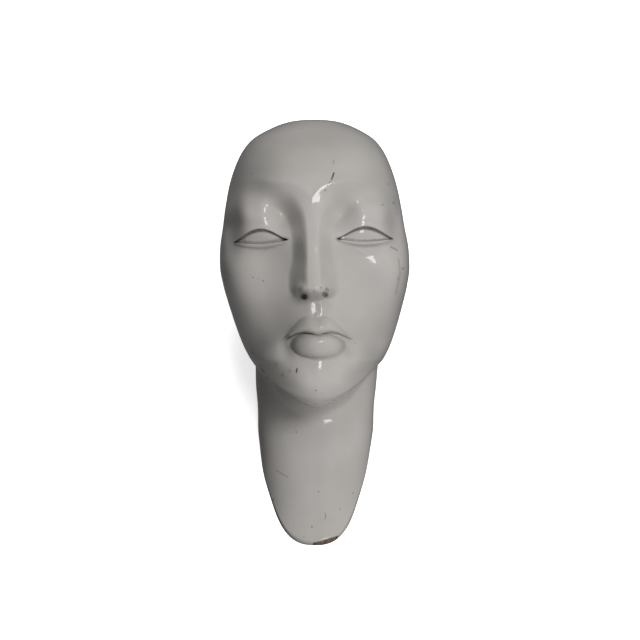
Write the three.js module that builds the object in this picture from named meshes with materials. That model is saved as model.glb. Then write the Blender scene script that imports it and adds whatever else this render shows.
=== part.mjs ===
// The head and neck of a shop-window mannequin, cast in one piece: a bald, earless head with a carved
// face, on a long neck whose lower end is one flat slanted cut. The head lies face up on that cut.
//
// Millimetres. The shape is worked out in the head's own upright frame: x to the viewer's right,
// "reach" forwards out of the face, and z up from just under the chin. The mesh is then turned back
// about x until the cut is level.
import * as THREE from "three";
import { ParametricGeometry } from "three/addons/geometries/ParametricGeometry.js";
import { mergeVertices } from "three/addons/utils/BufferGeometryUtils.js";

// Driving sizes
const CROWN_LEVEL = 234;
const WIDEST_LEVEL = 117.5;
const FACE_HALF_WIDTH = 77.5;
const CUT_LEVEL = -17.4;
const CUT_DROP = 90.2;
const CUT_REACH = 67.65;
const NECK_HALF_DEPTH = 41.5;
const JAW_HALF_WIDTH = 51.6;
const CHIN_LEVEL = 2.1;
const CHIN_OFFSET = 2.1;
const JAW_RISE = 29.6;
const NAPE_LEVEL = 88;
const NAPE_TOP = 135;
const EYE_INNER = 19.4;
const EYE_OUTER = 62.9;
const EYE_LEVEL = 132.2;
const EYE_TILT = 0.022;
const LID_RISE = 9;
const NOSE_BASE_LEVEL = 86;
const BROW_TOP = 184;
const MOUTH_HALF_WIDTH = 26.5;
const LIP_FULLNESS = 6.4;
const PAINT = 0xa9a5a1;

// Crown sections, as [degrees above the widest section, fraction of the value there]
const SIDE_CROWN = [[0, 1], [4, 0.998], [15, 0.96], [31, 0.9], [46, 0.8], [58, 0.675], [69, 0.475],
  [78, 0.305], [90, 0]];
const FACE_CROWN = [[0, 1], [5, 0.9865], [15, 0.912], [25, 0.906], [31, 0.896], [38, 0.858], [46, 0.783],
  [58, 0.62], [69, 0.475], [78, 0.345], [90, 0]];
const BACK_CROWN = [[0, 1], [15, 1.07], [31, 1.08], [46, 1], [58, 0.84], [69, 0.59], [78, 0.35], [90, 0]];

// Sections below the widest one, as [level, half width or reach]
const SIDE_BELOW = [[0, 45], [20, 48], [33.6, 51.6], [38.5, 54.9], [48.3, 60], [58, 63.8], [78, 70.1],
  [98, 75.2], [112, 77.35], [WIDEST_LEVEL, FACE_HALF_WIDTH]];
const FACE_BELOW = [[0, 83], [10, 88], [22, 91.5], [40, 88], [86, 96.2], [WIDEST_LEVEL, 93.5]];
const BACK_BELOW = [[60, 76], [90, 82], [WIDEST_LEVEL, 88]];

// How blunt the front of a section is, as [level, superellipse exponent]
const FRONT_BLUFFNESS = [[5, 1.9], [40, 1.75], [75, 2.45], [110, 3.35], [145, 2.65], [185, 2.3]];
const BACK_BLUFFNESS = 2.15;

// The slight sideways drift of the casting, and of the face's midline upon it, as [level, offset]
const DRIFT = [[-108, 0.1], [-60, -0.2], [-15, 0.7], [14, 0.9], [40, 1.6], [60, 1.3], [88, 0.6], [120, -0.2],
  [160, -1.2], [190, -1.6], [215, -1.4], [CROWN_LEVEL, -0.6]];
const MIDLINE = [[30, 2.1], [55, 1.2], [72, 0.2], [88, -0.9], [132, -1.3], [170, -0.9], [CROWN_LEVEL, 0]];

// Nose and forehead ridge, as [level, height], [level, half width of its flat top] and [level, flank width]
const RIDGE = [[84.3, 0], [86, 3.5], [87.5, 9], [89.5, 14.2], [91.5, 16.8], [94, 18], [99.5, 17.4],
  [105, 16.1], [115, 14.4], [128, 13], [140, 12.5], [150, 11.2], [163, 8.4], [175, 7.2], [188, 6.2],
  [203, 4.9], [218, 2.6], [CROWN_LEVEL, 0]];
const RIDGE_TOP = [[86, 2], [95, 3.4], [104, 3.8], [120, 3.1], [150, 2.6], [180, 5.7]];
const RIDGE_FLANK = [[84, 11], [94, 16.8], [104, 16], [118, 13.6], [135, 13.8], [150, 17.5], [165, 30],
  [180, 31.5], [195, 32]];

// Lips, as [distance from the midline, level]
const MOUTH_LINE = [[-4, 59.2], [0, 58.4], [4, 59.2], [10, 60.2], [16, 59.3], [20, 57.8], [26, 54.8], [32, 53]];
const UPPER_LIP_EDGE = [[-2.5, 72], [0, 71.6], [2.5, 72], [6.9, 72.8], [11, 71.2], [17, 65.8], [22, 60],
  [26, 55.6], [32, 54]];
const LOWER_LIP = { level: 50.2, halfWidth: 19.9, halfHeight: 9.7, fullness: 6.8 };

// Neck half width, as [level, half width]
const NECK_SIDE = [[-108, 43.5], [-80, 42.4], [-54, 44.7], [-35, 46], [-17, 47.8], [-10, 47.9], [0, 48.4],
  [14, 50], [32, 51.2], [60, 53]];
const NECK_FRONT_BLUFFNESS = 2.6;

// Rows of the surface from the crown down, as [upper level, lower level, rows]
const BANDS = [[192, 168, 4], [168, 152, 3], [152, 141, 4], [141, 140, 1], [140, 133, 4], [133, 128, 2],
  [128, 120, 2], [120, 100, 3], [100, 86, 7], [86, 76, 3], [76, 72, 2], [72, 60, 4], [60, 58, 2], [58, 42, 6],
  [42, 34, 3], [34, 6, 4], [6, 0, 2]];
const LEVEL_ROW = 140;
const BEND_ROW = 38;
const CROWN_ROWS = 8;
const UNDER_JAW_ROWS = 3;
const NECK_ROWS = 4;
const FRONT_COLUMNS = 44;
const BACK_COLUMNS = 24;
const FACE_SECTOR = THREE.MathUtils.degToRad(60);
const NECK_SLIP = THREE.MathUtils.degToRad(25);

const { clamp, lerp, radToDeg } = THREE.MathUtils;
const bell = (value, middle, width) => Math.exp(-(((value - middle) / width) ** 2));

// A bell on each side of the face's midline
const twin = (across, middle, width) => bell(across, middle, width) + bell(across, -middle, width);

function ease(low, high, value) {
  return THREE.MathUtils.smoothstep(value, low, high);
}

// A smooth curve through the stations that never overshoots them
function profile(stations) {
  const secants = stations.slice(1).map(([at, value], i) => (value - stations[i][1]) / (at - stations[i][0]));
  const slopes = stations.map((_, i) => {
    const before = secants[Math.max(i - 1, 0)];
    const after = secants[Math.min(i, secants.length - 1)];
    return before * after > 0 ? (2 * before * after) / (before + after) : 0;
  });
  return (place) => {
    const at = clamp(place, stations[0][0], stations.at(-1)[0]);
    const i = Math.max(0, stations.findIndex(([start]) => start >= at) - 1);
    const [[start, low], [end, high]] = [stations[i], stations[i + 1]];
    const span = end - start;
    const t = (at - start) / span;
    return low + (high - low) * t * t * (3 - 2 * t)
      + span * t * (1 - t) * (slopes[i] * (1 - t) - slopes[i + 1] * t);
  };
}

const sideCrown = profile(SIDE_CROWN);
const faceCrown = profile(FACE_CROWN);
const backCrown = profile(BACK_CROWN);
const sideBelow = profile(SIDE_BELOW);
const faceBelow = profile(FACE_BELOW);
const backBelow = profile(BACK_BELOW);
const frontBluffness = profile(FRONT_BLUFFNESS);
const drift = profile(DRIFT);
const midline = profile(MIDLINE);
const ridgeHeight = profile(RIDGE);
const ridgeTop = profile(RIDGE_TOP);
const ridgeFlank = profile(RIDGE_FLANK);
const mouthLine = profile(MOUTH_LINE);
const upperLipEdge = profile(UPPER_LIP_EDGE);
const neckSide = profile(NECK_SIDE);

// Value of a section size at a level, from its crown fractions or the stations below
function sectionSize(crown, below, level) {
  if (level <= WIDEST_LEVEL) return below(level);
  const climb = clamp((level - WIDEST_LEVEL) / (CROWN_LEVEL - WIDEST_LEVEL), 0, 1);
  return below(WIDEST_LEVEL) * crown(radToDeg(Math.asin(climb)));
}

// The bridge of the nose, which widens upwards into the brows and the forehead, and a welt along each brow
function noseAndBrow(off, level) {
  const rise = BROW_TOP - 160 - 6 * Math.log1p(Math.exp((BROW_TOP - level) / 6));
  const flare = 5 * Math.exp(rise / 10.3);
  const beyond = (off - ridgeTop(level) - flare) / Math.hypot(1, flare / 10.3);
  const flank = 1 - ease(0, 1, clamp(beyond / ridgeFlank(level), 0, 1) ** 0.92);
  const browFade = 1 - 1.5 * ease(22, 80, off) * ease(140, 165, level);
  const crestLevel = 178 - 14 * Math.exp(-off / 9);
  const welt = 1.2 * bell(level, crestLevel, 4) * (0.25 + 0.75 * ease(2, 32, off)) * (1 - ease(32, 50, off));
  return ridgeHeight(level) * flank * browFade + welt;
}

// The ball of the nose's tip, a wing on each side and two unequal nostrils
function nostrilsAndWings(across, level) {
  const ball = 0.9 * bell(across, 0.9, 4.2) * bell(level, 92.5, 8);
  const wing = 4.6 * twin(across, 10, 4.2) * Math.exp(-(Math.abs((level - 92.2) / 5.6) ** 2.5));
  const wideNostril = 5 * bell(across, -7.4, 2) * bell(level, 87.9, 1.7);
  const smallNostril = 2.6 * bell(across, 9.2, 1.6) * bell(level, 89, 1.3);
  return ball + wing * ease(NOSE_BASE_LEVEL, NOSE_BASE_LEVEL + 2.6, level) - wideNostril - smallNostril;
}

// The upper lid's mound and the crest up its middle, the sunk inner socket, the brow's tail, the temple, the
// cheekbone and the long shallow hollow of the cheek
function socketAndCheek(across, level) {
  const off = Math.abs(across);
  const moundWidth = Math.exp(-(Math.abs((off - 48.5) / 30) ** 2.3)) * ease(0, 15, off);
  const lidMound = 9.5 * moundWidth * Math.exp(-(Math.abs((level - 143) / 13) ** 2.4));
  const lidCrest = 2.6 * bell(off, 38, 9) * bell(level, 160, 6.5)
    + 0.5 * bell(off, 38, 4.4) * bell(level, 149.5, 9);
  const innerSocket = 6 * twin(across, 21.5, 11) * bell(level, 151.5, 13.5);
  const browTail = 12.5 * twin(across, 66, 23) * bell(level, 158, 12);
  const temple = 12.5 * twin(across, 66, 8.5) * bell(level, 150, 23);
  const cheekbone = 2.5 * twin(across, 44, 18) * bell(level, 110, 16);
  const cheekHollow = 15.5 * twin(across, 37.5, 25.5) * bell(level, 99, 49);
  return lidMound + lidCrest + browTail + cheekbone - innerSocket - temple - cheekHollow;
}

// Levels of the eye's lines: the edge of the upper lid, the top of the lower lid's band and the band's foot
function eyeLines(across) {
  const along = (Math.abs(across) - EYE_INNER) / (EYE_OUTER - EYE_INNER);
  const arch = Math.sin(Math.PI * clamp(along, 0, 1));
  const middle = EYE_LEVEL + EYE_TILT * across;
  return {
    along,
    arch,
    upper: middle + 0.35 + LID_RISE * arch ** 1.25,
    lower: middle - 2.1 * arch,
    foot: middle - 0.7 - 4.7 * arch ** 0.7,
  };
}

// The sunk blank ball under an overhanging upper lid, a rolled lower lid with a groove at its foot, a welt from
// the eye's inner corner down to the cheek, and a bead of paint at the left eye's outer corner
function eye(across, level) {
  const off = Math.abs(across);
  const { along, arch, upper, lower, foot } = eyeLines(across);
  const within = ease(-0.02, 0.04, along) * ease(-0.02, 0.04, 1 - along);
  const lidDepth = (1.4 + 1.5 * ease(0.2, 0.9, along)) * (0.25 + 0.75 * arch);
  const opening = ease(0, 1, (upper - level) / lidDepth) * ease(-0.3, 0.3, level - lower);
  const ball = 1.5 * (1 - ((off - 41) / 21) ** 2) * bell(level, EYE_LEVEL + 2.4, 7.5) - 3.1;
  const lidEdge = 0.3 * bell(level, upper + 1, 1.5) * arch ** 0.5;
  const roll = 0.9 * ease(-0.4, 0.5, lower - level) * ease(-1, 0.8, level - foot)
    - 0.3 * bell(level, lower, 0.4);
  const groove = 1.1 * bell(level, foot - 0.6, 1) * arch ** 0.5;
  const weltLevel = 127.4 - 0.4 * (off - 26);
  const welt = 0.5 * bell(level, weltLevel, 1.1) * ease(22, 27, off) * (1 - ease(36, 42, off));
  const bead = 0.9 * bell(across, -58, 1.6) * bell(level, 131.6, 1.1);
  return within * (opening * ball + lidEdge + roll - groove) + welt + bead;
}

function lips(off, level) {
  const line = mouthLine(off);
  const down = clamp(1 - (level - line) / Math.max(upperLipEdge(off) - line, 0.6), 0, 1);
  const upperCurl = Math.sqrt(1 - 0.75 * clamp((down - 0.5) / 0.5, 0, 1) ** 2);
  const taper = clamp(1 - (off / MOUTH_HALF_WIDTH) ** 3, 0, 1) ** 0.5;
  const upper = level >= line ? LIP_FULLNESS * down ** 0.85 * upperCurl * taper : 0;
  const outward = (off / LOWER_LIP.halfWidth) ** 2 + ((level - LOWER_LIP.level) / LOWER_LIP.halfHeight) ** 2;
  const lowerCurl = Math.sqrt(1 - 0.8 * (1 - clamp((line - level) / 7, 0, 1)) ** 2);
  const lower = level < line ? LOWER_LIP.fullness * clamp(1 - outward, 0, 1) ** 0.55 * lowerCurl : 0;
  const dimple = 0.6 * bell(off, 0, 6) * bell(level, 51, 5);
  const parting = 1.2 * bell(level, line, 1.2) * ease(0, 0.15, 1 - off / (MOUTH_HALF_WIDTH + 1));
  const crease = level < line - 2 ? 0.9 * bell(Math.sqrt(outward), 1.07, 0.09) : 0;
  return upper + lower - dimple - parting - crease;
}

// The muzzle, the groove under the nose and the bump at its foot, the chin with a fine welt down its front, the
// jowls and the mouth's corners, with the lips
function mouthAndChin(across, level) {
  const off = Math.abs(across);
  const muzzle = 6.5 * Math.exp(-((off / 24) ** 2.4) - Math.abs((level - 60) / 24) ** 2.4);
  const groove = 0.25 * twin(across, 4.8, 2.4) - 0.6 * bell(across, 0.6, 2.8);
  const philtrum = groove * ease(69, 77, level) * (1 - ease(81, 87, level));
  const bump = 0.8 * bell(across, 0.8, 1.7) * bell(level, 72.9, 1.5);
  const chin = 10.3 * bell(off, 0, 32) * bell(level, 20.8, 14.8)
    - 6 * bell(off, 0, 14.2) * bell(level, 22.8, 11.1);
  const chinWelt = 0.35 * bell(across, 1.2, 4.2) * ease(21, 25, level) * (1 - ease(38, 42, level));
  const jowl = 13 * twin(across, 38, 25.5) * bell(level, 37.5, 12)
    - 2.2 * twin(across, 47, 10) * bell(level, 44.5, 14);
  const corner = 3.6 * twin(across, 24.8, 6) * bell(level, 47.6, 7.5);
  return muzzle + philtrum + bump + chin + chinWelt + jowl - corner + lips(off, level);
}

// Moves a row's level so that rows run along the lids, the lips and the parting of the mouth
function followFeatures(row, across) {
  const off = Math.abs(across);
  const eyes = eyeLines(across);
  const nearEye = ease(EYE_INNER - 9, EYE_INNER, off) * (1 - ease(EYE_OUTER, EYE_OUTER + 9, off));
  const lidGap = 0.1 + 0.45 * eyes.arch ** 0.5;
  const nearMouth = 1 - ease(MOUTH_HALF_WIDTH + 2, MOUTH_HALF_WIDTH + 14, off);
  const line = mouthLine(off);
  const lowerDrop = 1.5 + 17.6 * (1 - Math.min(off / 27, 1) ** 2.2) ** 0.75;
  const anchors = [
    [34, 34, 0],
    [42, line - lowerDrop, nearMouth],
    [58, line - 1.1, nearMouth],
    [59, line, nearMouth],
    [60, Math.min(line + 1.1, (line + upperLipEdge(off)) / 2), nearMouth],
    [72, upperLipEdge(off), nearMouth],
    [76, 76, 0],
    [120, 120, 0],
    [128, eyes.foot, nearEye],
    [133, eyes.lower, nearEye],
    [140, eyes.upper - lidGap, nearEye],
    [141, eyes.upper + lidGap, nearEye],
    [152, 152, 0],
  ];
  const i = anchors.findIndex(([start]) => start >= row);
  if (i < 1) return row;
  const [[start, low, lowPull], [end, high, highPull]] = [anchors[i - 1], anchors[i]];
  return lerp(lerp(start, low, lowPull), lerp(end, high, highPull), (row - start) / (end - start));
}

// How far the carving stands out of the plain head at a place seen from the front
function carving(x, level) {
  const across = x - midline(level) * bell(x, 0, 58);
  const off = Math.abs(across);
  return noseAndBrow(off, level) + nostrilsAndWings(across, level) + socketAndCheek(across, level)
    + eye(across, level) + mouthAndChin(across, level);
}

// The plain head is a superellipse at each level, about an axis that moves forward towards the jaw
function headPoint(turn, level) {
  const side = Math.sin(turn);
  const facing = Math.cos(turn);
  const x = sectionSize(sideCrown, sideBelow, level) * side;
  const axis = 18 * (1 - ease(0, 110, level));
  if (facing < 0) {
    const bluff = (1 - Math.abs(side) ** BACK_BLUFFNESS) ** (1 / BACK_BLUFFNESS);
    const plainBack = axis - (sectionSize(backCrown, backBelow, level) + axis) * bluff;
    const [neckX, neckReach] = neckPoint(turn, level);
    const merge = ease(0, 1, (NAPE_TOP - level) / (NAPE_TOP - jawLevel(turn))) * ease(0, 0.4, -facing);
    return { x: lerp(x, neckX, merge), axis, reach: lerp(plainBack, neckReach, merge) };
  }
  const power = frontBluffness(level);
  const bluff = (1 - Math.abs(side) ** power) ** (1 / power);
  const plain = axis + (sectionSize(faceCrown, faceBelow, level) - axis) * bluff;
  return { x, axis, reach: plain + carving(x, level) * ease(0, 0.45, bluff) };
}

// Level of the jaw's lower edge: low at the chin, up along the jaw, and highest at the nape
function jawLevel(turn) {
  if (Math.cos(turn) < 0) return lerp(CHIN_LEVEL + JAW_RISE, NAPE_LEVEL, ease(0, 0.55, -Math.cos(turn)));
  const off = JAW_HALF_WIDTH * Math.sin(turn) - CHIN_OFFSET * Math.cos(turn) ** 2;
  return CHIN_LEVEL + JAW_RISE * Math.abs(off / 50) ** 1.7;
}

// The level at which a row of the face crosses a column, found in two steps because the width changes with it
function carvedLevel(turn, rowLevel) {
  let level = rowLevel;
  for (let pass = 0; pass < 2; pass += 1) {
    const x = sectionSize(sideCrown, sideBelow, level) * Math.sin(turn);
    level = followFeatures(rowLevel, x - midline(level) * bell(x, 0, 58));
  }
  return level;
}

// Rows are level above the eyes. Behind, they close up to make room for the nape, and the lowest ones all
// round bend to follow the jaw
function bentLevel(turn, rowLevel) {
  const behind = Math.cos(turn) < 0;
  if (behind && rowLevel >= LEVEL_ROW) return rowLevel;
  const jaw = jawLevel(turn);
  const squeeze = behind ? (LEVEL_ROW - jaw) / (LEVEL_ROW - CHIN_LEVEL - JAW_RISE) : 1;
  const squeezed = LEVEL_ROW - (LEVEL_ROW - Math.max(rowLevel, BEND_ROW)) * squeeze;
  const level = lerp(squeezed, jaw, clamp(1 - rowLevel / BEND_ROW, 0, 1));
  return behind ? level : carvedLevel(turn, level);
}

// A row of the head, drawn in at the foot to round the jaw's edge: widely at the chin, not at all behind
function headRow(turn, rowLevel) {
  const level = bentLevel(turn, rowLevel);
  const point = headPoint(turn, level);
  const behind = Math.max(-Math.cos(turn), 0);
  const radius = 2.6 + 5.5 * bell(point.x, CHIN_OFFSET, 22);
  const nearEdge = 1 - clamp((level - jawLevel(turn)) / radius, 0, 1);
  const inset = radius * (1 - Math.sqrt(1 - nearEdge ** 2)) * (1 - ease(0, 0.3, behind));
  const shrink = 1 - inset / Math.max(Math.hypot(point.x, point.reach - point.axis), 1);
  return [point.x * shrink, point.axis + (point.reach - point.axis) * shrink, level];
}

// A column's turn about the neck's axis, less than its turn about the head's
const neckTurn = (turn) => turn - NECK_SLIP * Math.sin(turn) * Math.abs(Math.sin(turn));

// The neck leans forward as it goes down; its front is a little blunter than an ellipse
function neckPoint(turn, level) {
  const spread = neckTurn(turn);
  const bluffness = Math.cos(spread) > 0 ? 2 / NECK_FRONT_BLUFFNESS : 1;
  const side = Math.abs(Math.sin(spread)) ** bluffness * Math.sign(Math.sin(spread));
  const lean = (CUT_REACH - NECK_HALF_DEPTH) / CUT_DROP;
  return [neckSide(level) * side, NECK_HALF_DEPTH * Math.cos(spread) - (level - CUT_LEVEL) * lean, level];
}

const cutLevel = (turn) => CUT_LEVEL - CUT_DROP * Math.cos(neckTurn(turn));

function neckTopLevel(turn) {
  const jaw = jawLevel(turn);
  const gap = lerp(14, 3, ease(0, 1, -Math.cos(turn)));
  return Math.max(jaw - gap, cutLevel(turn) + 0.6);
}

// The underside of the jaw, a curve from the jaw's edge in and down to the neck
function underJaw(turn, along) {
  const edge = headRow(turn, 0);
  const top = neckTopLevel(turn);
  const end = neckPoint(turn, top);
  const inward = edge.map((value, axis) => (axis === 2 ? value : lerp(value, end[axis], 0.55)));
  const above = neckPoint(turn, lerp(top, jawLevel(turn), 0.85));
  const back = 1 - along;
  return edge.map((value, axis) => back ** 3 * value + 3 * along * back ** 2 * inward[axis]
    + 3 * along ** 2 * back * above[axis] + along ** 3 * end[axis]);
}

// The level of each row of the head, from just under the crown to the jaw's edge
function headLevels() {
  const firstBand = Math.asin((BANDS[0][0] - WIDEST_LEVEL) / (CROWN_LEVEL - WIDEST_LEVEL));
  const levels = [];
  for (let i = 1; i <= CROWN_ROWS; i += 1) {
    const latitude = lerp(Math.PI / 2, firstBand, i / (CROWN_ROWS + 1));
    levels.push(lerp(WIDEST_LEVEL, CROWN_LEVEL, Math.sin(latitude)));
  }
  for (const [upper, lower, rows] of BANDS) {
    for (let i = 0; i < rows; i += 1) levels.push(lerp(upper, lower, i / rows));
  }
  return [...levels, 0];
}

// Columns crowd together towards the middle of the face
function columnTurn(index) {
  if (index > FRONT_COLUMNS) {
    return lerp(FACE_SECTOR, 2 * Math.PI - FACE_SECTOR, (index - FRONT_COLUMNS) / BACK_COLUMNS);
  }
  const across = (2 * index) / FRONT_COLUMNS - 1;
  return FACE_SECTOR * across * (0.62 + 0.38 * across ** 2);
}

const LEVELS = headLevels();
const COLUMNS = FRONT_COLUMNS + BACK_COLUMNS;
const ROWS = 1 + LEVELS.length + UNDER_JAW_ROWS + NECK_ROWS;

// One point of the surface: the crown is row 0, and the last row is the middle of the cut
function surfacePoint(turn, row) {
  if (row === 0) return [0, 0, CROWN_LEVEL];
  if (row <= LEVELS.length) return headRow(turn, LEVELS[row - 1]);
  const below = row - LEVELS.length;
  if (below <= UNDER_JAW_ROWS) return underJaw(turn, below / UNDER_JAW_ROWS);
  if (row === ROWS) return [0, 0, CUT_LEVEL];
  const level = lerp(neckTopLevel(turn), cutLevel(turn), (below - UNDER_JAW_ROWS) / NECK_ROWS);
  const [x, reach] = neckPoint(turn, level);
  const onCut = CUT_LEVEL - (reach * CUT_DROP) / CUT_REACH;
  return [x, reach, row === ROWS - 1 ? onCut : level];
}

function headGeometry() {
  const surface = (u, v, target) => {
    const row = Math.round(v * ROWS);
    const column = (COLUMNS - Math.round(u * COLUMNS)) % COLUMNS;
    const [x, reach, level] = surfacePoint(columnTurn(column), row);
    const atEnd = row === 0 || row === ROWS;
    target.set(atEnd ? 0 : x + drift(level), -reach, level);
  };
  const sheet = new ParametricGeometry(surface, COLUMNS, ROWS);
  sheet.deleteAttribute("normal");
  sheet.deleteAttribute("uv");
  return closed(mergeVertices(sheet, 1e-3));
}

// Drops the flat triangles that the two ends of the sheet leave
function closed(geometry) {
  const corners = geometry.index.array;
  const kept = [];
  for (let i = 0; i < corners.length; i += 3) {
    const [a, b, c] = corners.slice(i, i + 3);
    if (a !== b && b !== c && c !== a) kept.push(a, b, c);
  }
  geometry.setIndex(kept);
  geometry.computeVertexNormals();
  return geometry;
}

const head = new THREE.Mesh(
  headGeometry(),
  new THREE.MeshStandardMaterial({ color: PAINT, roughness: 0.3, metalness: 0 }),
);
head.name = "mannequin_head";
head.position.z = -CUT_LEVEL;

const lyingHead = new THREE.Group();
lyingHead.add(head);
lyingHead.rotation.x = -Math.atan2(CUT_DROP, CUT_REACH);

export default lyingHead;
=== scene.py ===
"""The visual model of a mannequin's head and neck, lying face up on the slanted cut of its neck.

The surface is worked out in millimetres in the head's own upright frame: x to the viewer's right, "reach"
forwards out of the face and "level" up from just under the chin. It is then turned onto its cut and put in
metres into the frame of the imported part.
"""

import math

import bpy
import numpy as np
from mathutils import Matrix, Vector


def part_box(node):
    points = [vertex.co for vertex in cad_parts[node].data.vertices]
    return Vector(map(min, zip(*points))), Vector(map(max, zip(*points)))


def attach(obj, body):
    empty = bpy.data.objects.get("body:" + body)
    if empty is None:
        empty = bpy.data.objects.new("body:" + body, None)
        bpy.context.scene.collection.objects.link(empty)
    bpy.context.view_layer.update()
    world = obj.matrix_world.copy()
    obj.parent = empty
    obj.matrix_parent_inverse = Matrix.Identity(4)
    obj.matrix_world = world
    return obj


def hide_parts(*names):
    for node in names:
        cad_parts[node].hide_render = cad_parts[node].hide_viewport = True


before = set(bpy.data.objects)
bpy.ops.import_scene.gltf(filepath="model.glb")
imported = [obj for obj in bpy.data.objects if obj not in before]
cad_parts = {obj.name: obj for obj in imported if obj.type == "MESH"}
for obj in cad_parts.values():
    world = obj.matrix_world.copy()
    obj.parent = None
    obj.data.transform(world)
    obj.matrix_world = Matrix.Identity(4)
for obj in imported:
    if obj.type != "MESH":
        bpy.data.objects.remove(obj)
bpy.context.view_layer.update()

# Driving sizes, in millimetres
CROWN_LEVEL = 234
WIDEST_LEVEL = 117.5
FACE_HALF_WIDTH = 77.5
CUT_LEVEL = -17.4
CUT_DROP = 90.2
CUT_REACH = 67.65
NECK_HALF_DEPTH = 41.5
JAW_HALF_WIDTH = 51.6
CHIN_LEVEL = 2.1
CHIN_OFFSET = 2.1
JAW_RISE = 29.6
NAPE_LEVEL = 88
NAPE_TOP = 135
EYE_INNER = 19.4
EYE_OUTER = 62.9
EYE_LEVEL = 132.2
EYE_TILT = 0.022
LID_RISE = 9
NOSE_BASE_LEVEL = 86
BROW_TOP = 184
MOUTH_HALF_WIDTH = 26.5
LIP_FULLNESS = 6.4
MIDLINE_WIDTH = 58
AXIS_FORWARD = 18
AXIS_TOP = 110
JAW_REACH = 50

# Crown sections, as (degrees above the widest section, fraction of the value there)
SIDE_CROWN = [(0, 1), (4, 0.998), (15, 0.96), (31, 0.9), (46, 0.8), (58, 0.675), (69, 0.475), (78, 0.305),
              (90, 0)]
FACE_CROWN = [(0, 1), (5, 0.9865), (15, 0.912), (25, 0.906), (31, 0.896), (38, 0.858), (46, 0.783),
              (58, 0.62), (69, 0.475), (78, 0.345), (90, 0)]
BACK_CROWN = [(0, 1), (15, 1.07), (31, 1.08), (46, 1), (58, 0.84), (69, 0.59), (78, 0.35), (90, 0)]

# Sections below the widest one, as (level, half width or reach)
SIDE_BELOW = [(0, 45), (20, 48), (33.6, 51.6), (38.5, 54.9), (48.3, 60), (58, 63.8), (78, 70.1), (98, 75.2),
              (112, 77.35), (WIDEST_LEVEL, FACE_HALF_WIDTH)]
FACE_BELOW = [(0, 83), (10, 88), (22, 91.5), (40, 88), (86, 96.2), (WIDEST_LEVEL, 93.5)]
BACK_BELOW = [(60, 76), (90, 82), (WIDEST_LEVEL, 88)]

# How blunt the front of a section is, as (level, superellipse exponent)
FRONT_BLUFFNESS = [(5, 1.9), (40, 1.75), (75, 2.45), (110, 3.35), (145, 2.65), (185, 2.3)]
BACK_BLUFFNESS = 2.15

# The slight sideways drift of the casting, and of the face's midline upon it, as (level, offset)
DRIFT = [(-108, 0.1), (-60, -0.2), (-15, 0.7), (14, 0.9), (40, 1.6), (60, 1.3), (88, 0.6), (120, -0.2),
         (160, -1.2), (190, -1.6), (215, -1.4), (CROWN_LEVEL, -0.6)]
MIDLINE = [(30, 2.1), (55, 1.2), (72, 0.2), (88, -0.9), (132, -1.3), (170, -0.9), (CROWN_LEVEL, 0)]

# Nose and forehead ridge, as (level, height), (level, half width of its flat top) and (level, flank width)
RIDGE = [(84.3, 0), (86, 3.5), (87.5, 9), (89.5, 14.2), (91.5, 16.8), (94, 18), (99.5, 17.4), (105, 16.1),
         (115, 14.4), (128, 13), (140, 12.5), (150, 11.2), (163, 8.4), (175, 7.2), (188, 6.2), (203, 4.9),
         (218, 2.6), (CROWN_LEVEL, 0)]
RIDGE_TOP = [(86, 2), (95, 3.4), (104, 3.8), (120, 3.1), (150, 2.6), (180, 5.7)]
RIDGE_FLANK = [(84, 11), (94, 16.8), (104, 16), (118, 13.6), (135, 13.8), (150, 17.5), (165, 30), (180, 31.5),
               (195, 32)]

# Lips, as (distance from the midline, level)
MOUTH_LINE = [(-4, 59.2), (0, 58.4), (4, 59.2), (10, 60.2), (16, 59.3), (20, 57.8), (26, 54.8), (32, 53)]
UPPER_LIP_EDGE = [(-2.5, 72), (0, 71.6), (2.5, 72), (6.9, 72.8), (11, 71.2), (17, 65.8), (22, 60), (26, 55.6),
                  (32, 54)]
LOWER_LIP_LEVEL = 50.2
LOWER_LIP_HALF_WIDTH = 19.9
LOWER_LIP_HALF_HEIGHT = 9.7
LOWER_LIP_FULLNESS = 6.8

# Neck half width, as (level, half width)
NECK_SIDE = [(-108, 43.5), (-80, 42.4), (-54, 44.7), (-35, 46), (-17, 47.8), (-10, 47.9), (0, 48.4),
             (14, 50), (32, 51.2), (60, 53)]
NECK_FRONT_BLUFFNESS = 2.6
NECK_SLIP = math.radians(25)

# Rows of the surface from the crown down, as (upper level, lower level, rows)
BANDS = [(192, 168, 18), (168, 152, 14), (152, 141, 14), (141, 140, 4), (140, 133, 18), (133, 128, 10),
         (128, 120, 8), (120, 100, 20), (100, 84, 36), (84, 76, 10), (76, 72, 7), (72, 60, 20), (60, 58, 8),
         (58, 42, 28), (42, 34, 12), (34, 6, 26), (6, 0, 10)]
LEVEL_ROW = 140
BEND_ROW = 38
CROWN_ROWS = 34
UNDER_JAW_ROWS = 12
NECK_ROWS = 20
CUT_ROWS = 3
FRONT_COLUMNS = 188
BACK_COLUMNS = 96
FACE_SECTOR = math.radians(60)


def ease(low, high, value):
    """The smooth step from 0 at low to 1 at high, 3 t squared less 2 t cubed."""
    t = np.clip((value - low) / (high - low), 0, 1)
    return t * t * (3 - 2 * t)


def bell(value, middle, width):
    """The bell curve that is 1 at the middle and 1/e a width away from it."""
    return np.exp(-(((value - middle) / width) ** 2))


def twin(across, middle, width):
    """A bell on each side of the face's midline."""
    return bell(across, middle, width) + bell(across, -middle, width)


def lerp(start, end, t):
    """The value a share t of the way from start to end."""
    return start + (end - start) * t


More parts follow.
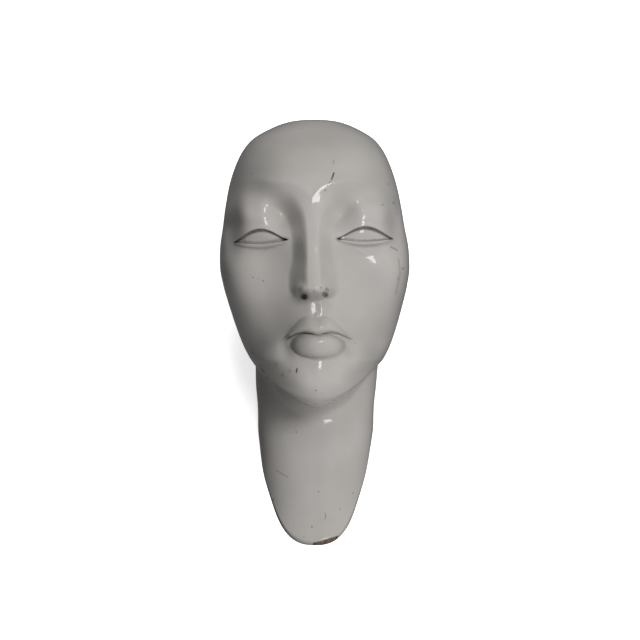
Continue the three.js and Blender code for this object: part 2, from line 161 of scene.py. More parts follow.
def profile(stations):
    """A piecewise cubic through the stations whose slopes are harmonic means, so it never overshoots them."""
    at, value = np.array(stations, float).T
    secant = np.diff(value) / np.diff(at)
    before = np.append(secant[0], secant)
    after = np.append(secant, secant[-1])
    product = before * after
    total = np.where(product > 0, before + after, 1)
    slope = np.where(product > 0, 2 * product / total, 0)

    def curve(place):
        place = np.clip(place, at[0], at[-1])
        i = np.clip(np.searchsorted(at, place) - 1, 0, len(at) - 2)
        span = at[i + 1] - at[i]
        t = (place - at[i]) / span
        bend = span * t * (1 - t) * (slope[i] * (1 - t) - slope[i + 1] * t)
        return value[i] + (value[i + 1] - value[i]) * t * t * (3 - 2 * t) + bend

    return curve


side_crown = profile(SIDE_CROWN)
face_crown = profile(FACE_CROWN)
back_crown = profile(BACK_CROWN)
side_below = profile(SIDE_BELOW)
face_below = profile(FACE_BELOW)
back_below = profile(BACK_BELOW)
front_bluffness = profile(FRONT_BLUFFNESS)
drift = profile(DRIFT)
midline = profile(MIDLINE)
ridge_height = profile(RIDGE)
ridge_top = profile(RIDGE_TOP)
ridge_flank = profile(RIDGE_FLANK)
mouth_line = profile(MOUTH_LINE)
upper_lip_edge = profile(UPPER_LIP_EDGE)
neck_side = profile(NECK_SIDE)


def section_size(crown, below, level):
    """A section's size: its stations below the widest level, and fractions by latitude above it."""
    climb = np.clip((level - WIDEST_LEVEL) / (CROWN_LEVEL - WIDEST_LEVEL), 0, 1)
    above = below(WIDEST_LEVEL) * crown(np.degrees(np.arcsin(climb)))
    return np.where(level <= WIDEST_LEVEL, below(level), above)


def nose_and_brow(off, level):
    """A flat-topped ridge whose edge runs outwards exponentially with height, into the brows and forehead,
    and a bell-shaped welt along the crest of each brow."""
    rise = BROW_TOP - 160 - 6 * np.logaddexp(0, (BROW_TOP - level) / 6)
    flare = 5 * np.exp(rise / 10.3)
    beyond = (off - ridge_top(level) - flare) / np.hypot(1, flare / 10.3)
    flank = 1 - ease(0, 1, np.clip(beyond / ridge_flank(level), 0, 1) ** 0.92)
    brow_fade = 1 - 1.5 * ease(22, 80, off) * ease(140, 165, level)
    crest_level = 178 - 14 * np.exp(-off / 9)
    welt = 1.2 * bell(level, crest_level, 4) * (0.25 + 0.75 * ease(2, 32, off)) * (1 - ease(32, 50, off))
    return ridge_height(level) * flank * brow_fade + welt


def nostrils_and_wings(across, level):
    """A bell-shaped ball for the nose's tip, a wing on each side, and two unequal nostrils under it."""
    ball = 0.9 * bell(across, 0.9, 4.2) * bell(level, 92.5, 8)
    wing = 4.6 * twin(across, 10, 4.2) * np.exp(-(np.abs((level - 92.2) / 5.6) ** 2.5))
    wide_nostril = 5 * bell(across, -7.4, 2) * bell(level, 87.9, 1.7)
    small_nostril = 2.6 * bell(across, 9.2, 1.6) * bell(level, 89, 1.3)
    return ball + wing * ease(NOSE_BASE_LEVEL, NOSE_BASE_LEVEL + 2.6, level) - wide_nostril - small_nostril


def socket_and_cheek(across, level):
    """Bells for the upper lid's mound and the crest up its middle, the sunk inner socket, the brow's tail,
    the temple, the cheekbone and the long shallow hollow of the cheek."""
    off = np.abs(across)
    mound_width = np.exp(-(np.abs((off - 48.5) / 30) ** 2.3)) * ease(0, 15, off)
    lid_mound = 9.5 * mound_width * np.exp(-(np.abs((level - 143) / 13) ** 2.4))
    inner_socket = 6 * twin(across, 21.5, 11) * bell(level, 151.5, 13.5)
    brow_tail = 12.5 * twin(across, 66, 23) * bell(level, 158, 12)
    temple = 12.5 * twin(across, 66, 8.5) * bell(level, 150, 23)
    cheekbone = 2.5 * twin(across, 44, 18) * bell(level, 110, 16)
    cheek_hollow = 15.5 * twin(across, 37.5, 25.5) * bell(level, 99, 49)
    upper_crest = 2.6 * bell(off, 38, 9) * bell(level, 160, 6.5)
    lower_crest = 0.5 * bell(off, 38, 4.4) * bell(level, 149.5, 9)
    raised = lid_mound + (upper_crest + lower_crest) + brow_tail + cheekbone
    return raised - inner_socket - temple - cheek_hollow


def eye_lines(across):
    """Levels of the upper lid's edge, the lower lid's top and its foot, as half-sine arches between the eye's
    corners, with the share of the way along the eye and the arch itself."""
    along = (np.abs(across) - EYE_INNER) / (EYE_OUTER - EYE_INNER)
    arch = np.sin(np.pi * np.clip(along, 0, 1))
    middle = EYE_LEVEL + EYE_TILT * across
    upper = middle + 0.35 + LID_RISE * arch**1.25
    lower = middle - 2.1 * arch
    foot = middle - 0.7 - 4.7 * arch**0.7
    return along, arch, upper, lower, foot


def eye(across, level):
    """A sunk blank ball under an overhanging upper lid, a rolled lower lid with a groove at its foot, a welt
    from the eye's inner corner down to the cheek, and a bead of paint at the left eye's outer corner."""
    off = np.abs(across)
    along, arch, upper, lower, foot = eye_lines(across)
    within = ease(-0.02, 0.04, along) * ease(-0.02, 0.04, 1 - along)
    lid_depth = (1.4 + 1.5 * ease(0.2, 0.9, along)) * (0.25 + 0.75 * arch)
    below_lid = ease(0, 1, (upper - level) / lid_depth)
    ball = -3.1 + 1.5 * (1 - ((off - 41) / 21) ** 2) * bell(level, EYE_LEVEL + 2.4, 7.5)
    opening = below_lid * ease(-0.3, 0.3, level - lower)
    lid_edge = 0.3 * bell(level, upper + 1, 1.5) * arch**0.5
    roll = 0.9 * ease(-0.4, 0.5, lower - level) * ease(-1, 0.8, level - foot) - 0.3 * bell(level, lower, 0.4)
    groove = 1.1 * bell(level, foot - 0.6, 1) * arch**0.5
    welt_level = 127.4 - 0.4 * (off - 26)
    welt = 0.5 * bell(level, welt_level, 1.1) * ease(22, 27, off) * (1 - ease(36, 42, off))
    bead = 0.9 * bell(across, -58, 1.6) * bell(level, 131.6, 1.1)
    return within * (opening * ball + lid_edge + roll - groove) + welt + bead


def lower_lip_share(off, level):
    """The square of a place's distance from the lower lip's middle, in half widths and half heights."""
    return (off / LOWER_LIP_HALF_WIDTH) ** 2 + ((level - LOWER_LIP_LEVEL) / LOWER_LIP_HALF_HEIGHT) ** 2


def lips(off, level):
    """An upper lip that swells from its edge to the mouth's line and curls in, half an ellipsoid below it,
    and a crease round the lower lip's foot."""
    line = mouth_line(off)
    down = np.clip(1 - (level - line) / np.maximum(upper_lip_edge(off) - line, 0.6), 0, 1)
    upper_curl = np.sqrt(1 - 0.75 * np.clip((down - 0.5) / 0.5, 0, 1) ** 2)
    taper = np.clip(1 - (off / MOUTH_HALF_WIDTH) ** 3, 0, 1) ** 0.5
    upper = np.where(level >= line, LIP_FULLNESS * down**0.85 * upper_curl * taper, 0)
    outward = lower_lip_share(off, level)
    lower_curl = np.sqrt(1 - 0.8 * (1 - np.clip((line - level) / 7, 0, 1)) ** 2)
    lower = np.where(level < line, LOWER_LIP_FULLNESS * np.clip(1 - outward, 0, 1) ** 0.55 * lower_curl, 0)
    dimple = 0.6 * bell(off, 0, 6) * bell(level, 51, 5)
    parting = 1.2 * bell(level, line, 1.2) * ease(0, 0.15, 1 - off / (MOUTH_HALF_WIDTH + 1))
    crease = np.where(level < line - 2, 0.9 * bell(np.sqrt(outward), 1.07, 0.09), 0)
    return upper + lower - dimple - parting - crease


def mouth_and_chin(across, level):
    """Bells for the muzzle, the groove under the nose and the bump at its foot, the chin and the fine welt
    down its front, the jowls and the mouth's corners, with the lips."""
    off = np.abs(across)
    muzzle = 6.5 * np.exp(-((off / 24) ** 2.4) - np.abs((level - 60) / 24) ** 2.4)
    groove = 0.25 * twin(across, 4.8, 2.4) - 0.6 * bell(across, 0.6, 2.8)
    philtrum = groove * ease(69, 77, level) * (1 - ease(81, 87, level))
    bump = 0.8 * bell(across, 0.8, 1.7) * bell(level, 72.9, 1.5)
    chin_width = 10.3 * bell(off, 0, 32) * bell(level, 20.8, 14.8)
    chin = chin_width - 6 * bell(off, 0, 14.2) * bell(level, 22.8, 11.1)
    chin_welt = 0.35 * bell(across, 1.2, 4.2) * ease(21, 25, level) * (1 - ease(38, 42, level))
    jowl_fullness = 13 * twin(across, 38, 25.5) * bell(level, 37.5, 12)
    jowl = jowl_fullness - 2.2 * twin(across, 47, 10) * bell(level, 44.5, 14)
    corner = 3.6 * twin(across, 24.8, 6) * bell(level, 47.6, 7.5)
    return muzzle + philtrum + bump + chin + chin_welt + jowl - corner + lips(off, level)


def follow_features(row, across):
    """Moves a row's level, linearly between anchors that lie on the lids, the lips and the mouth's line."""
    off = np.abs(across)
    _, arch, upper, lower, foot = eye_lines(across)
    near_eye = ease(EYE_INNER - 9, EYE_INNER, off) * (1 - ease(EYE_OUTER, EYE_OUTER + 9, off))
    near_mouth = 1 - ease(MOUTH_HALF_WIDTH + 2, MOUTH_HALF_WIDTH + 14, off)
    lid_gap = 0.1 + 0.45 * arch**0.5
    line = mouth_line(off)
    edge = upper_lip_edge(off)
    lower_drop = 1.5 + 17.6 * (1 - np.minimum(off / 27, 1) ** 2.2) ** 0.75
    anchors = [
        (34, 34, 0),
        (42, line - lower_drop, near_mouth),
        (58, line - 1.1, near_mouth),
        (59, line, near_mouth),
        (60, np.minimum(line + 1.1, (line + edge) / 2), near_mouth),
        (72, edge, near_mouth),
        (76, 76, 0),
        (120, 120, 0),
        (128, foot, near_eye),
        (133, lower, near_eye),
        (140, upper - lid_gap, near_eye),
        (141, upper + lid_gap, near_eye),
        (152, 152, 0),
    ]
    level = row
    for (start, low, low_pull), (end, high, high_pull) in zip(anchors, anchors[1:]):
        share = (row - start) / (end - start)
        moved = lerp(lerp(start, low, low_pull), lerp(end, high, high_pull), share)
        level = np.where((row > start) & (row <= end), moved, level)
    return level


def from_midline(x, level):
    """The distance from the face's own midline, whose offset fades by a bell towards the sides."""
    return x - midline(level) * bell(x, 0, MIDLINE_WIDTH)


def carving(x, level):
    """How far the carving stands out of the plain head at a place seen from the front."""
    across = from_midline(x, level)
    off = np.abs(across)
    face = nose_and_brow(off, level) + nostrils_and_wings(across, level) + socket_and_cheek(across, level)
    return face + eye(across, level) + mouth_and_chin(across, level)


# Painted shade, with some dirt, darkens the creases: along the lids, in the eyes' inner corners, the
# nostrils, the mouth's line and under the lower lip
def crease_shade_and_dirt(x, reach, level):
    """The share of the paint darkened by painted shade, with some dirt, in the creases: bands and bells along
    the lids, in the eyes' inner corners, the nostrils, the mouth's line and the crescent under the lower lip,
    on the front only."""
    across = from_midline(x, level)
    off = np.abs(across)
    along, arch, upper, lower, foot = eye_lines(across)
    within = ease(-0.03, 0.04, along) * ease(-0.03, 0.04, 1 - along)
    band_foot = upper - (2.3 + 1.1 * ease(0.3, 0.9, along)) * (0.3 + 0.7 * arch)
    lid_band = 0.72 * ease(-0.5, 0.5, level - band_foot) * (1 - ease(-0.1, 0.5, level - upper))
    lid_lines = 0.55 * bell(level, lower, 0.45) + 0.3 * bell(level, foot - 0.7, 1) * arch**0.5
    corner = 0.7 * twin(across, 20.6, 2) * bell(level, 132.4, 1.1)
    wide_nostril = 3 * bell(across, -8, 2.2) * bell(level, 87.9, 1.9)
    small_nostril = 2 * bell(across, 8.6, 1.9) * bell(level, 89, 1.5)
    line = mouth_line(off)
    # The mouth's line and the crescent under the lower lip are painted darker on the left, where the shade
    # falls
    mouth = 0.16 * bell(level, line, 0.9) * (1 - ease(25, 29, off)) * (1 + 0.6 * bell(across, -12, 10))
    mouth_corner = 0.45 * bell(across, -22.3, 2) * bell(level, 56.6, 1.4)
    outline = np.sqrt(lower_lip_share(off, level))
    crescent = 0.3 * bell(outline, 1.05, 0.07) * ease(2, 5, line - level) * (1 - 0.4 * ease(-5, 12, across))
    nose = wide_nostril + small_nostril
    shade_and_dirt = within * (lid_band + lid_lines) + corner + nose + mouth + mouth_corner + crescent
    return np.clip(shade_and_dirt, 0, 1) * ease(10, 30, reach)


def neck_turn(turn):
    """A column's turn about the neck's axis, less than its turn about the head's by up to NECK_SLIP."""
    return turn - NECK_SLIP * np.sin(turn) * np.abs(np.sin(turn))


def neck_point(turn, level):
    """A leaning neck, an ellipse behind and a superellipse in front, at a turn and level."""
    spread = neck_turn(turn)
    power = np.where(np.cos(spread) > 0, 2 / NECK_FRONT_BLUFFNESS, 1)
    side = np.abs(np.sin(spread)) ** power * np.sign(np.sin(spread))
    lean = (CUT_REACH - NECK_HALF_DEPTH) / CUT_DROP
    return neck_side(level) * side, NECK_HALF_DEPTH * np.cos(spread) - (level - CUT_LEVEL) * lean


def cut_level(turn):
    """The level at which a column meets the flat cut."""
    return CUT_LEVEL - CUT_DROP * np.cos(neck_turn(turn))


def jaw_level(turn):
    """The jaw's lower edge: a power curve up from the chin, then a smooth step up to the nape."""
    off = JAW_HALF_WIDTH * np.sin(turn) - CHIN_OFFSET * np.cos(turn) ** 2
    front = CHIN_LEVEL + JAW_RISE * np.abs(off / JAW_REACH) ** 1.7
    behind = lerp(CHIN_LEVEL + JAW_RISE, NAPE_LEVEL, ease(0, 0.55, -np.cos(turn)))
    return np.where(np.cos(turn) < 0, behind, front)


def head_point(turn, level):
    """A superellipse at each level about an axis that moves forward to the jaw, carved in front, and merged
    into the neck at the nape. Gives x, the axis and the reach."""
    side = np.sin(turn)
    facing = np.cos(turn)
    x = section_size(side_crown, side_below, level) * side
    axis = AXIS_FORWARD * (1 - ease(0, AXIS_TOP, level))
    front_power = front_bluffness(level)
    bluff = (1 - np.abs(side) ** front_power) ** (1 / front_power)
    plain = axis + (section_size(face_crown, face_below, level) - axis) * bluff
    front = plain + carving(x, level) * ease(0, 0.45, bluff)
    round_back = (1 - np.abs(side) ** BACK_BLUFFNESS) ** (1 / BACK_BLUFFNESS)
    back = axis - (section_size(back_crown, back_below, level) + axis) * round_back
    neck_x, neck_reach = neck_point(turn, level)
    merge = ease(0, 1, (NAPE_TOP - level) / (NAPE_TOP - jaw_level(turn))) * ease(0, 0.4, -facing)
    behind = facing < 0
    return (
        np.where(behind, lerp(x, neck_x, merge), x),
        axis,
        np.where(behind, lerp(back, neck_reach, merge), front),
    )


def carved_level(turn, row_level):
    """The level at which a row of the face crosses a column, in two steps as the width changes with it."""
    level = row_level
    for _ in range(2):
        x = section_size(side_crown, side_below, level) * np.sin(turn)
        level = follow_features(row_level, from_midline(x, level))
    return level


def bent_level(turn, row_level):
    """Rows are level above the eyes. Behind they close up over the nape, and the lowest follow the jaw."""
    jaw = jaw_level(turn)
    behind = np.cos(turn) < 0
    squeeze = np.where(behind, (LEVEL_ROW - jaw) / (LEVEL_ROW - CHIN_LEVEL - JAW_RISE), 1)
    squeezed = LEVEL_ROW - (LEVEL_ROW - np.maximum(row_level, BEND_ROW)) * squeeze
    level = lerp(squeezed, jaw, np.clip(1 - row_level / BEND_ROW, 0, 1))
    plain_back = np.where(row_level >= LEVEL_ROW, row_level, level)
    return np.where(behind, plain_back, carved_level(turn, level))


def head_row(turn, row_level):
    """A row of the head, drawn in at the foot by a quarter circle that rounds the jaw's edge."""
    level = bent_level(turn, row_level)
    x, axis, reach = head_point(turn, level)
    behind = np.maximum(-np.cos(turn), 0)
    radius = 2.6 + 5.5 * bell(x, CHIN_OFFSET, 22)
    near_edge = 1 - np.clip((level - jaw_level(turn)) / radius, 0, 1)
    inset = radius * (1 - np.sqrt(1 - near_edge**2)) * (1 - ease(0, 0.3, behind))
    shrink = 1 - inset / np.maximum(np.hypot(x, reach - axis), 1)
    return np.stack([x * shrink, axis + (reach - axis) * shrink, level], -1)


def under_jaw(turn, along):
    """The underside of the jaw, a cubic Bezier curve from the jaw's edge in and down to the neck."""
    edge = head_row(turn, np.zeros_like(turn))
    top = neck_top_level(turn)
    end = np.stack([*neck_point(turn, top), top], -1)
    inward = lerp(edge, end, np.array([0.55, 0.55, 0]))
    above_level = lerp(top, jaw_level(turn), 0.85)
    above = np.stack([*neck_point(turn, above_level), above_level], -1)
    back = 1 - along
    return back**3 * edge + 3 * along * back**2 * inward + 3 * along**2 * back * above + along**3 * end


def neck_top_level(turn):
    """Where the neck's own surface starts, a little below the jaw's edge."""
    gap = lerp(14, 3, ease(0, 1, -np.cos(turn)))
    return np.maximum(jaw_level(turn) - gap, cut_level(turn) + 0.6)


def neck_row(turn, share):
    """A row of the neck, a share of the way down to the flat cut."""
    level = lerp(neck_top_level(turn), cut_level(turn), share)
    x, reach = neck_point(turn, level)
    return np.stack([x, reach, level], -1)


def head_levels():
    """The level of each row of the head, from just under the crown to the jaw's edge."""
    first_band = math.asin((BANDS[0][0] - WIDEST_LEVEL) / (CROWN_LEVEL - WIDEST_LEVEL))
    latitude = np.linspace(math.pi / 2, first_band, CROWN_ROWS + 2)[1:-1]
    crown = lerp(WIDEST_LEVEL, CROWN_LEVEL, np.sin(latitude))
    bands = [np.linspace(upper, lower, rows, endpoint=False) for upper, lower, rows in BANDS]
    return np.concatenate([crown, *bands, [0.0]])


def column_turns():
    """Turns of the columns, closer together towards the middle of the face by a cubic."""
    across = np.linspace(-1, 1, FRONT_COLUMNS + 1)
    front = FACE_SECTOR * across * (0.62 + 0.38 * across**2)
    back = np.linspace(FACE_SECTOR, 2 * math.pi - FACE_SECTOR, BACK_COLUMNS + 1)[1:-1]
    return np.concatenate([front, back])


def head_grid():
    """Every row of the surface, as rows of (x, reach, level), and the two points that close its ends."""
    turn = column_turns()
    levels = head_levels()
    head = head_row(np.broadcast_to(turn, (len(levels), len(turn))), levels[:, None])
    jaw = [under_jaw(turn, along) for along in np.linspace(0, 1, UNDER_JAW_ROWS + 1)[1:, None]]
    neck = [neck_row(turn, share) for share in np.linspace(0, 1, NECK_ROWS + 1)[1:]]
    neck[-1][:, 2] = CUT_LEVEL - neck[-1][:, 1] * CUT_DROP / CUT_REACH
    rows = np.concatenate([head, jaw, neck])
    rows[..., 0] += drift(rows[..., 2])
    middle = np.array([0.0, 0.0, CUT_LEVEL])
    cut = [lerp(rows[-1], middle, share) for share in np.linspace(0, 1, CUT_ROWS + 2)[1:-1]]
    return np.concatenate([rows, cut]), np.array([0.0, 0.0, CROWN_LEVEL]), middle


def closed_faces(rows, columns):
    """Quads between the rows of a grid that closes on itself, and a fan of triangles at each end."""
    row = np.arange(rows - 1)[:, None] * columns
    column = np.arange(columns)
    after = (column + 1) % columns
    quads = np.stack([row + column, row + columns + column, row + columns + after, row + after], -1)
    last = (rows - 1) * columns
    top = np.stack([np.full(columns, rows * columns), column, after], -1)
    foot = np.stack([np.full(columns, rows * columns + 1), last + after, last + column], -1)
    return quads.reshape(-1, 4).tolist() + top.tolist() + foot.tolist()


CUT_ANGLE = math.atan2(CUT_DROP, CUT_REACH)


def lie_down(points):
    """Turns points from the upright head's frame onto the cut: a turn about x by the cut's angle."""
    x, reach, level = np.moveaxis(points, -1, 0)
    height = level - CUT_LEVEL
    return np.stack(
        [
            x,
            -reach * math.cos(CUT_ANGLE) + height * math.sin(CUT_ANGLE),
            reach * math.sin(CUT_ANGLE) + height * math.cos(CUT_ANGLE),
        ],
        -1,
    )


def fit_to_box(points, box):
    """Stretches points linearly so that their own box becomes the given one, resting on the floor."""
    low, high = np.array(box[0]), np.array(box[1])
    own_low, own_high = points.min(0), points.max(0)
    return low + (points - own_low) * (high - low) / (own_high - own_low)


def make_head():
    """The head and neck as one closed mesh, in metres, that stands for the solid of the same name."""
    grid, crown, middle = head_grid()
    rows, columns, _ = grid.shape
    points = np.concatenate([grid.reshape(-1, 3), [crown, middle]])
    lying = lie_down(points) / 1000
    mesh = bpy.data.meshes.new("painted_head")
    mesh.from_pydata(fit_to_box(lying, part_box("mannequin_head")).tolist(), [], closed_faces(rows, columns))
    mesh.polygons.foreach_set("use_smooth", np.ones(len(mesh.polygons), bool))
    x, reach, level = points.T
    # Painted shade, with some dirt, in the creases, kept on the points for the paint's colour
    shade_and_dirt = mesh.attributes.new("crease_shade_and_dirt", "FLOAT", "POINT")
    shade_and_dirt.data.foreach_set("value", crease_shade_and_dirt(x - drift(level), reach, level).astype(np.float32))
    mesh.update()
    piece = bpy.data.objects.new("painted_head", mesh)
    bpy.context.scene.collection.objects.link(piece)
    return piece


# The paint, the painted shade with some dirt in its creases, and its wear
PAINT_COLOUR = (0.365, 0.348, 0.334, 1)
PAINT_SHADE = (0.335, 0.322, 0.303, 1)
PAINT_ROUGHNESS = 0.45
# The colour of the painted shade, with some dirt, in the creases
CREASE_SHADE_AND_DIRT_COLOUR = (0.032, 0.027, 0.023, 1)
MARK_COLOUR = (0.045, 0.036, 0.03, 1)
BARE_COLOUR = (0.085, 0.05, 0.036, 1)
BARE_SHADE = (0.14, 0.115, 0.08, 1)
MARK_WOBBLE = 0.8
MARK_CORE = 0.3
SKIN_DEPTH = 0.00004

# Specks on the front, as (x, level, radius, how dark)
SPECKS = [
    (53.2, 159.8, 1.1, 0.45), (58.9, 178.4, 1.1, 0.4), (63.1, 162.9, 2.0, 0.35), (-49.5, 184.8, 1, 0.3),
    (-57.5, 194.9, 1, 0.3), (9.9, 173.5, 0.8, 0.5), (8.2, 169.7, 1, 0.6), (-48.3, 102.9, 1.1, 0.4),
    (-44.1, 101.7, 0.8, 0.35), (-40.1, 100.1, 1.1, 0.45), (-71.5, 101.5, 1.4, 0.5), (-0.2, 91.3, 1, 0.45),
    (5.1, 94.2, 1.2, 0.5), (10.5, 92.4, 1.2, 0.6), (9.3, 93.1, 2.2, 0.4), (1.2, 15.5, 0.9, 0.5),
    (-25, 26.9, 2.6, 0.22), (-30.2, 34.6, 2.4, 0.2), (-19.2, 30.2, 2.2, 0.18), (-49.5, 43.2, 1.6, 0.4),
    (-22.4, 132.3, 1, 0.8), (-25.1, 131.2, 1.6, 0.3), (-15, -20.4, 1.1, 0.5), (3, -66.5, 1, 0.45),
    (30.7, -68.8, 1.1, 0.35), (19.9, -80.4, 1, 0.35), (-2.2, -93.5, 1, 0.6), (-8.5, -101.2, 0.8, 0.35),
    (-33.3, -74.2, 1.2, 0.5), (69.7, 110.3, 1.8, 0.35), (66.1, 102, 1.8, 0.35),
]

# Scratches and scuffs on the front, as (x and level of one end, of the other, half width, how dark)
SCRATCHES = [
    (14.9, 183.4, 13.3, 178.6, 1, 0.9), (14.6, 194, 14.6, 191.1, 0.9, 0.3),
    (13.3, 178.6, 9.9, 173.5, 0.6, 0.35), (59.8, 127, 64.9, 124.9, 1.1, 0.4),
    (66, 117.5, 67.5, 105, 1.3, 0.22), (67, 106, 64.2, 90.2, 1.6, 0.2), (64, 168, 66, 155, 2.4, 0.14),
    (-13.5, 32.3, -14.1, 29.3, 0.9, 0.85), (-42, 29.9, -37.8, 23, 1.7, 0.6),
    (-30.8, -50.9, -22, -55.6, 0.9, 0.3), (8.1, -82.7, 8.8, -85, 0.8, 0.4),
    (8.8, -85, 8, -87.4, 0.8, 0.4),
]

# The chip at the front of the neck's foot: the level of its upper edge at the midline, that edge's slope, and
# its ends to the left and the right
CHIP_LEVEL = -105.6
CHIP_SLOPE = 0.27
CHIP_START = -1.6
CHIP_END = 18.4


def feed(tree, node, inputs):
    """Gives a node's inputs their values, or links them to other nodes' outputs."""
    for socket, value in inputs.items():
        if isinstance(value, bpy.types.NodeSocket):
            tree.links.new(value, node.inputs[socket])
        else:
            node.inputs[socket].default_value = value


def math_node(tree, operation, *values):
    """A sum, product or other operation on numbers."""
    node = tree.nodes.new("ShaderNodeMath")
    node.operation = operation
    feed(tree, node, dict(enumerate(values)))
    return node.outputs[0]


def vector_node(tree, operation, *values):
    """An operation on vectors, which gives a number for a distance or a dot product."""
    node = tree.nodes.new("ShaderNodeVectorMath")
    node.operation = operation
    feed(tree, node, dict(enumerate(values)))
    return node.outputs["Value" if operation in {"DISTANCE", "LENGTH", "DOT_PRODUCT"} else "Vector"]


def smooth_range(tree, value, low, high, at_low, at_high):
    """The smooth step of a value between two limits, from one result to another."""
    node = tree.nodes.new("ShaderNodeMapRange")
    node.interpolation_type = "SMOOTHSTEP"
    feed(tree, node, {0: value, 1: low, 2: high, 3: at_low, 4: at_high})
    return node.outputs[0]


def noise_node(tree, place, scale, detail):
    """Fractal noise, as a node with a number and a colour output."""
    node = tree.nodes.new("ShaderNodeTexNoise")
    feed(tree, node, {"Vector": place, "Scale": scale, "Detail": detail})
    return node


def mix_colours(tree, share, under, over):
    """The colour a share of the way from one to the other."""
    node = tree.nodes.new("ShaderNodeMix")
    node.data_type = "RGBA"
    feed(tree, node, {0: share, 6: under, 7: over})
    return node.outputs[2]


def upright_place(tree):
    """The place on the piece as (x, reach, level) in millimetres: the piece's own coordinates mirrored in y,
    turned up from the cut by its angle, and moved to its level."""
    coordinates = tree.nodes.new("ShaderNodeTexCoord")
    upright = tree.nodes.new("ShaderNodeMapping")
    turn = {"Location": (0, 0, CUT_LEVEL), "Rotation": (-CUT_ANGLE, 0, 0), "Scale": (1000, -1000, 1000)}
    feed(tree, upright, {"Vector": coordinates.outputs["Object"], **turn})
    return upright.outputs["Vector"]


def wobbled_front(tree, place):
    """The place seen from the front, without its reach, and moved about by fine noise so that marks are
    ragged."""
    noise = noise_node(tree, place, 0.9, 1)
    centred = vector_node(tree, "SUBTRACT", noise.outputs["Color"], (0.5, 0.5, 0.5))
    moved = vector_node(tree, "MULTIPLY_ADD", centred, (MARK_WOBBLE,) * 3, place)
    return vector_node(tree, "MULTIPLY", moved, (1, 0, 1))


def speck_mask(tree, front, x, level, radius, dark):
    """A round speck that fades by the smooth step of the distance from its middle."""
    distance = vector_node(tree, "DISTANCE", front, (x, 0, level))
    return smooth_range(tree, distance, MARK_CORE * radius, radius, dark, 0)


def scratch_mask(tree, front, start_x, start_level, end_x, end_level, half_width, dark):
    """A line that fades by the smooth step of the distance from the nearest place between its two ends."""
    start = Vector((start_x, 0, start_level))
    run = Vector((end_x, 0, end_level)) - start
    from_start = vector_node(tree, "SUBTRACT", front, start)
    along = vector_node(tree, "DOT_PRODUCT", from_start, run / run.length_squared)
    share = math_node(tree, "MAXIMUM", math_node(tree, "MINIMUM", along, 1), 0)
    nearest = vector_node(tree, "MULTIPLY_ADD", share, -run, from_start)
    distance = vector_node(tree, "LENGTH", nearest)
    return smooth_range(tree, distance, MARK_CORE * half_width, half_width, dark, 0)


def marks_mask(tree, front, place):
    """The darkest of all specks and scratches at a place of the front, and nothing behind."""
    masks = [speck_mask(tree, front, *speck) for speck in SPECKS]
    masks += [scratch_mask(tree, front, *scratch) for scratch in SCRATCHES]
    darkest = masks[0]
    for mask in masks[1:]:
        darkest = math_node(tree, "MAXIMUM", darkest, mask)
    reach = vector_node(tree, "DOT_PRODUCT", place, (0, 1, 0))
    return math_node(tree, "MULTIPLY", darkest, smooth_range(tree, reach, 0, 10, 0, 1))


def chip_mask(tree, front):
    """The bare patch under a slanting ragged edge, between two ends."""
    edge = vector_node(tree, "DOT_PRODUCT", front, (CHIP_SLOPE, 0, -1))
    under = smooth_range(tree, edge, -CHIP_LEVEL - 0.5, -CHIP_LEVEL + 0.3, 0, 1)
    x = vector_node(tree, "DOT_PRODUCT", front, (1, 0, 0))
    after_start = smooth_range(tree, x, CHIP_START - 0.5, CHIP_START + 0.5, 0, 1)
    before_end = smooth_range(tree, x, CHIP_END - 0.5, CHIP_END + 0.5, 1, 0)
    return math_node(tree, "MULTIPLY", under, math_node(tree, "MULTIPLY", after_start, before_end))


